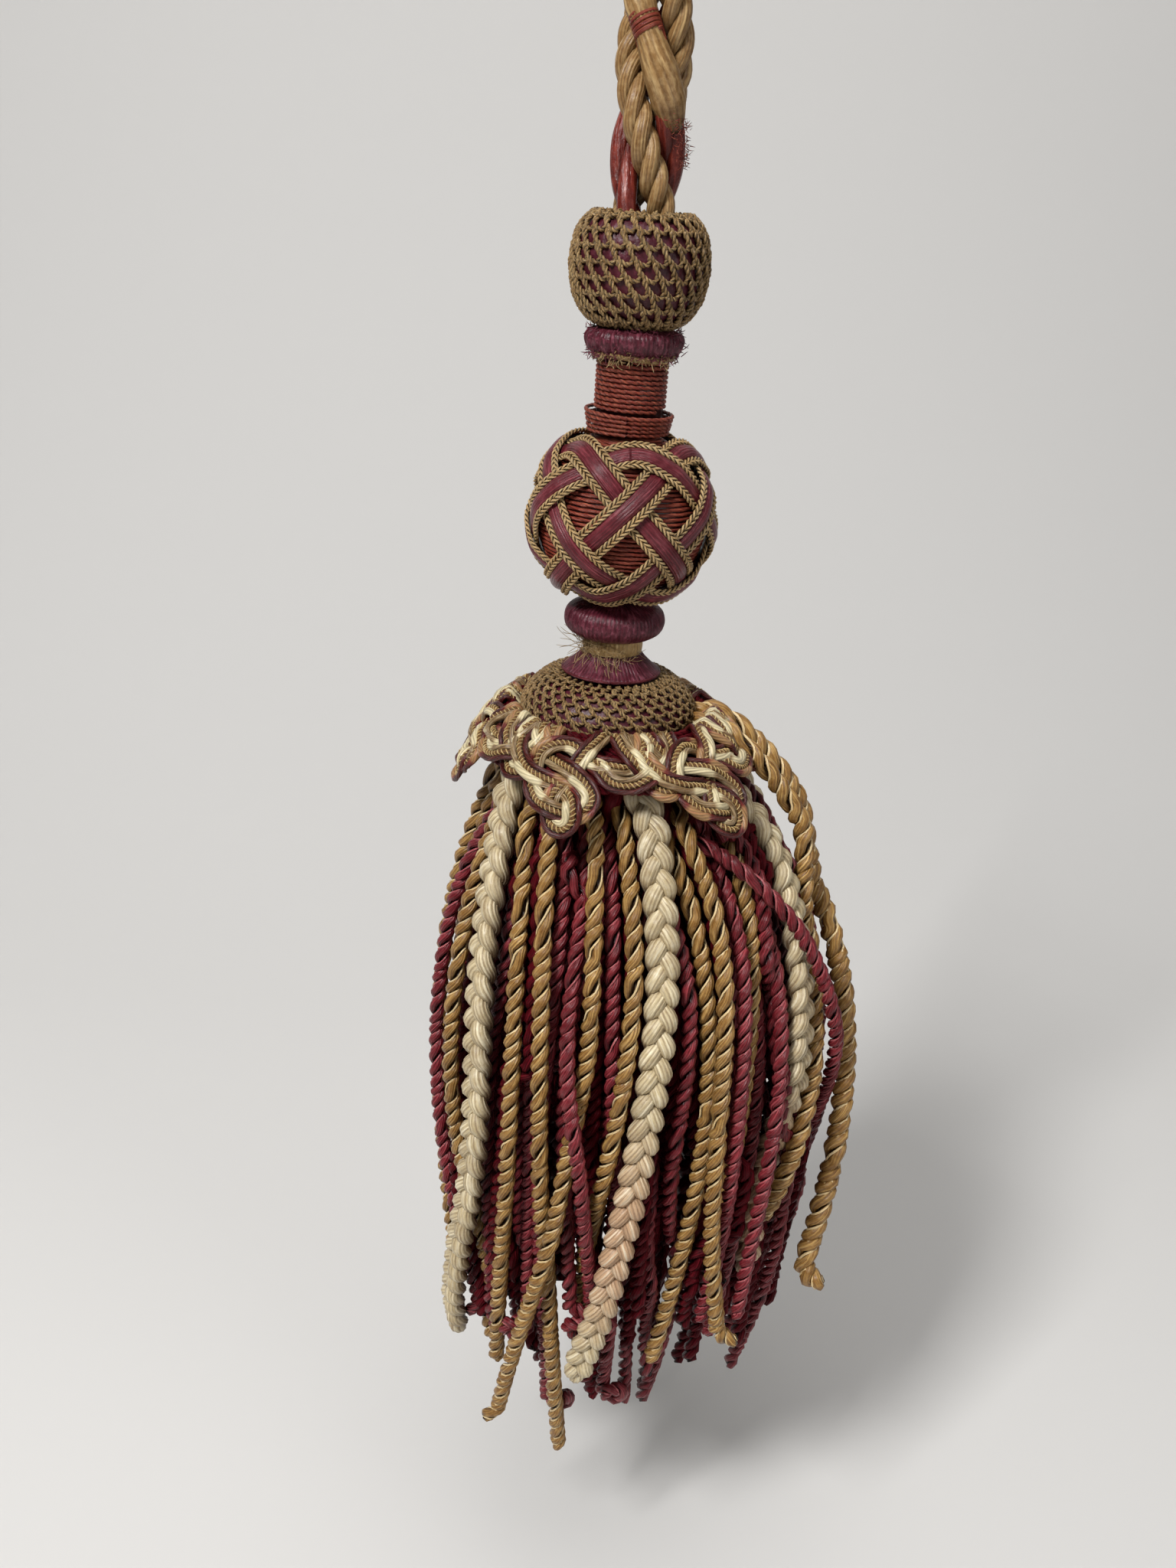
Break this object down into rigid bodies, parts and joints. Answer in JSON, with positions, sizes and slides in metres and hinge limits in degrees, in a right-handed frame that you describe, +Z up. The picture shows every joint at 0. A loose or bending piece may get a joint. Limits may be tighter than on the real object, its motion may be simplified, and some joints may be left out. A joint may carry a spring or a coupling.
{
  "type": "curtain tassel",
  "caption": "Hanging tassel on a twisted rope loop: netted ball, wound neck, plaited ball, looped trim and a long skirt of twisted cords.",
  "frame": {"origin": "top of the rope's hanging loop", "axes": "+Z up along the tassel's axis, the pictured front faces -Y"},
  "size_m": [0.124, 0.1232, 0.4412],
  "materials": {
    "gold_cord": "satin twisted floss",
    "burgundy_cord": "satin twisted floss",
    "plum_satin": "satin floss",
    "net_cord": "matte knotted cord",
    "red_winding": "satin winding",
    "gold_floss": "worn floss",
    "cream_floss": "satin floss",
    "looped_trim": "mixed cords"
  },
  "bodies": {
    "root": {"rope_gold": "gold_cord", "rope_burgundy": "burgundy_cord", "upper_mould": "plum_satin", "upper_net": "net_cord", "fluff_collar": "plum_satin", "neck_winding": "red_winding", "ball": "red_winding", "strapwork": "plum_satin", "floss_ring": "plum_satin", "gold_band": "gold_floss", "flared_disc": "plum_satin", "lower_mould": "plum_satin", "lower_net": "net_cord", "gimp_trim": "looped_trim", "cream_braids": "cream_floss", "gold_cords": "gold_cord", "burgundy_cords": "burgundy_cord", "inner_cords": "burgundy_cord"}
  },
  "joints": []
}
